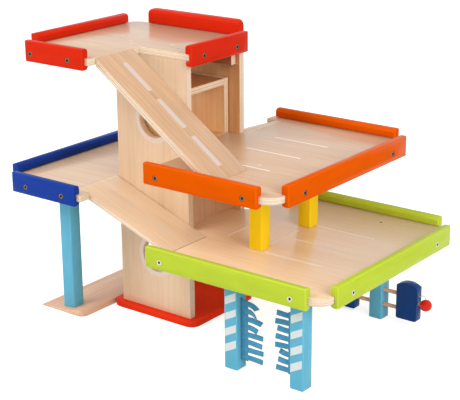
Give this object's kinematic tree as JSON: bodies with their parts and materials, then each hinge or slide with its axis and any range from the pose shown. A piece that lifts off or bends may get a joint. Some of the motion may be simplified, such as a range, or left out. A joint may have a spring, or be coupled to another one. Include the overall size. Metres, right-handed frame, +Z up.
{
  "type": "toy parking garage",
  "caption": "Wooden toy parking garage with decks, ramps, a crank lift in a tower, a car wash and fuel pumps.",
  "frame": {"origin": "on the floor, at the centre of the bounding box in plan", "axes": "+X along the decks from the entry wedge towards the car wash, +Y from the ramp side in front to the back, +Z up"},
  "size_m": [0.5766, 0.3504, 0.4261],
  "materials": {
    "birch_ply": "clear-lacquered birch plywood, ply layers showing at the edges",
    "birch_ramp": "clear-lacquered thin birch plywood with white printed dashes",
    "beech": "clear-oiled solid beech",
    "red_paint": "solid wood, satin red paint",
    "orange_paint": "solid wood, satin orange paint",
    "blue_paint": "solid wood, satin blue paint",
    "green_paint": "solid wood, satin lime green paint",
    "yellow_paint": "solid wood, satin yellow paint",
    "light_blue_paint": "solid wood, satin light blue paint",
    "navy_paint": "solid wood, satin dark blue paint",
    "felt": "turquoise craft felt, 2 mm thick",
    "cotton_cord": "thin white braided cord",
    "steel": "bright zinc-plated steel wire"
  },
  "bodies": {
    "garage": {"back_batten": "beech", "back_panel": "birch_ply", "base_plate": "red_paint", "deck_blue": "birch_ply", "deck_green": "birch_ply", "deck_orange": "birch_ply", "deck_red": "birch_ply", "entry_wedge": "beech", "felt_left": "felt", "felt_right": "felt", "front_batten": "beech", "front_panel": "birch_ply", "lift_cord": "cotton_cord", "post_blue_back": "light_blue_paint", "post_blue_front": "light_blue_paint", "post_pump": "light_blue_paint", "post_wash_left": "light_blue_paint", "post_wash_right": "light_blue_paint", "post_yellow_back": "yellow_paint", "post_yellow_front": "yellow_paint", "pump_dowel_1": "beech", "pump_dowel_2": "beech", "pump_left": "navy_paint", "pump_right": "navy_paint", "rail_blue_back": "blue_paint", "rail_blue_front": "blue_paint", "rail_blue_left": "blue_paint", "rail_green_back": "green_paint", "rail_green_front": "green_paint", "rail_green_right": "green_paint", "rail_orange_back": "orange_paint", "rail_orange_front": "orange_paint", "rail_orange_right": "orange_paint", "rail_red_back": "red_paint", "rail_red_front": "red_paint", "rail_red_left": "red_paint", "rail_red_right": "red_paint", "ramp_blue_to_green": "birch_ramp", "ramp_green_to_ground": "birch_ramp", "ramp_orange_to_blue": "birch_ramp", "ramp_red_to_orange": "birch_ramp"},
    "cab": {"cab_back_wall": "birch_ply", "cab_floor": "birch_ply", "cab_front_wall": "birch_ply", "cab_roof": "birch_ply", "cab_screw_eye": "steel"},
    "winch": {"winch_axle": "beech", "winch_spool": "beech", "axle_collar": "beech", "crank_arm": "red_paint", "crank_handle": "beech"},
    "right_nozzle": {"nozzle_right": "red_paint", "nozzle_cord_right": "cotton_cord"},
    "left_nozzle": {"nozzle_left": "red_paint", "nozzle_cord_left": "cotton_cord"}
  },
  "joints": [
    {"name": "lift_slide", "type": "slide", "parent": "garage", "child": "cab", "axis": [0, 0, 1], "range_m": [-0.2435, 0], "deforming": ["lift_cord"]},
    {"name": "crank_turn", "type": "hinge", "parent": "garage", "child": "winch", "pos_m": [-0.0909, 0, 0.372], "axis": [0, 1, 0], "range_deg": [0, 1551]},
    {"name": "right_nozzle_pull", "type": "slide", "parent": "garage", "child": "right_nozzle", "axis": [1, 0, 0], "range_m": [0, 0.012]},
    {"name": "left_nozzle_pull", "type": "slide", "parent": "garage", "child": "left_nozzle", "axis": [-1, 0, 0], "range_m": [0, 0.012]}
  ],
  "couplings": [
    {"joint": "crank_turn", "follows": "lift_slide", "rad_per_m": -111.11}
  ]
}
